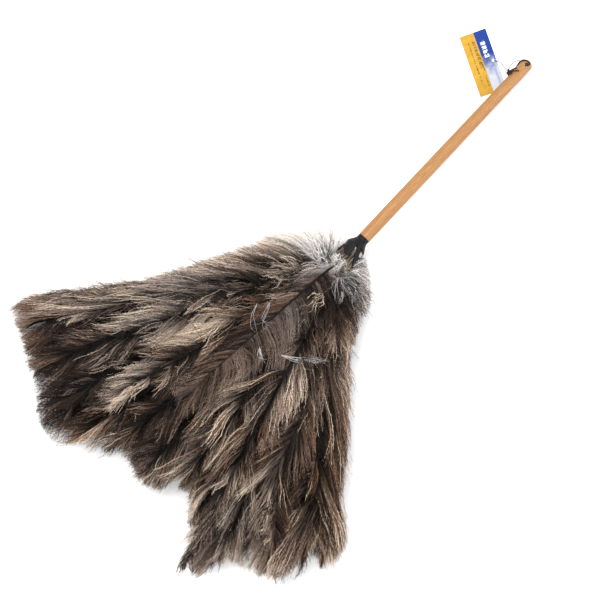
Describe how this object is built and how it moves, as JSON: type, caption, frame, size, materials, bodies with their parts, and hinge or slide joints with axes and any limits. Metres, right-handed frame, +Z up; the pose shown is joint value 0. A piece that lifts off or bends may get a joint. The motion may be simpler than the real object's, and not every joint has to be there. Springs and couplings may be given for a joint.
{
  "type": "feather duster",
  "caption": "Ostrich feather duster with a turned wooden handle, black leather cuff, wired feather head, lace for hanging and a swinging card tag.",
  "frame": {"origin": "on the surface the duster lies on, below the middle of its box", "axes": "+X along the handle towards its free end, +Y to the side the hang tag lies on, +Z up"},
  "size_m": [0.644, 0.4221, 0.0995],
  "materials": {
    "turned_wood": "satin",
    "black_leather": "satin",
    "brown_leather": "satin",
    "binding_wire": "satin",
    "ostrich_feather": "matte",
    "tag_thread": "satin",
    "printed_card": "gloss"
  },
  "bodies": {
    "duster": {"cuff": "black_leather", "handle": "turned_wood", "inner_feather_01": "ostrich_feather", "inner_feather_02": "ostrich_feather", "inner_feather_03": "ostrich_feather", "inner_feather_04": "ostrich_feather", "inner_feather_05": "ostrich_feather", "inner_feather_06": "ostrich_feather", "inner_feather_07": "ostrich_feather", "inner_feather_08": "ostrich_feather", "inner_feather_09": "ostrich_feather", "inner_feather_10": "ostrich_feather", "lace": "brown_leather", "lace_knot": "brown_leather", "middle_feather_01": "ostrich_feather", "middle_feather_02": "ostrich_feather", "middle_feather_03": "ostrich_feather", "middle_feather_04": "ostrich_feather", "middle_feather_05": "ostrich_feather", "middle_feather_06": "ostrich_feather", "middle_feather_07": "ostrich_feather", "middle_feather_08": "ostrich_feather", "middle_feather_09": "ostrich_feather", "middle_feather_10": "ostrich_feather", "middle_feather_11": "ostrich_feather", "middle_feather_12": "ostrich_feather", "middle_feather_13": "ostrich_feather", "middle_feather_14": "ostrich_feather", "outer_feather_01": "ostrich_feather", "outer_feather_02": "ostrich_feather", "outer_feather_03": "ostrich_feather", "outer_feather_04": "ostrich_feather", "outer_feather_05": "ostrich_feather", "outer_feather_06": "ostrich_feather", "outer_feather_07": "ostrich_feather", "outer_feather_08": "ostrich_feather", "outer_feather_09": "ostrich_feather", "outer_feather_10": "ostrich_feather", "outer_feather_11": "ostrich_feather", "outer_feather_12": "ostrich_feather", "outer_feather_13": "ostrich_feather", "outer_feather_14": "ostrich_feather", "outer_feather_15": "ostrich_feather", "outer_feather_16": "ostrich_feather", "outer_feather_17": "ostrich_feather", "outer_feather_18": "ostrich_feather", "tag_thread": "tag_thread", "winding_inner": "binding_wire", "winding_middle": "binding_wire", "winding_outer": "binding_wire"},
    "tag_card": {"tag": "printed_card"}
  },
  "joints": [
    {"name": "tag_turn", "type": "hinge", "parent": "duster", "child": "tag_card", "pos_m": [0.2969, 0.0296, 0], "axis": [0, 0, 1], "range_deg": [-45, 40]}
  ]
}
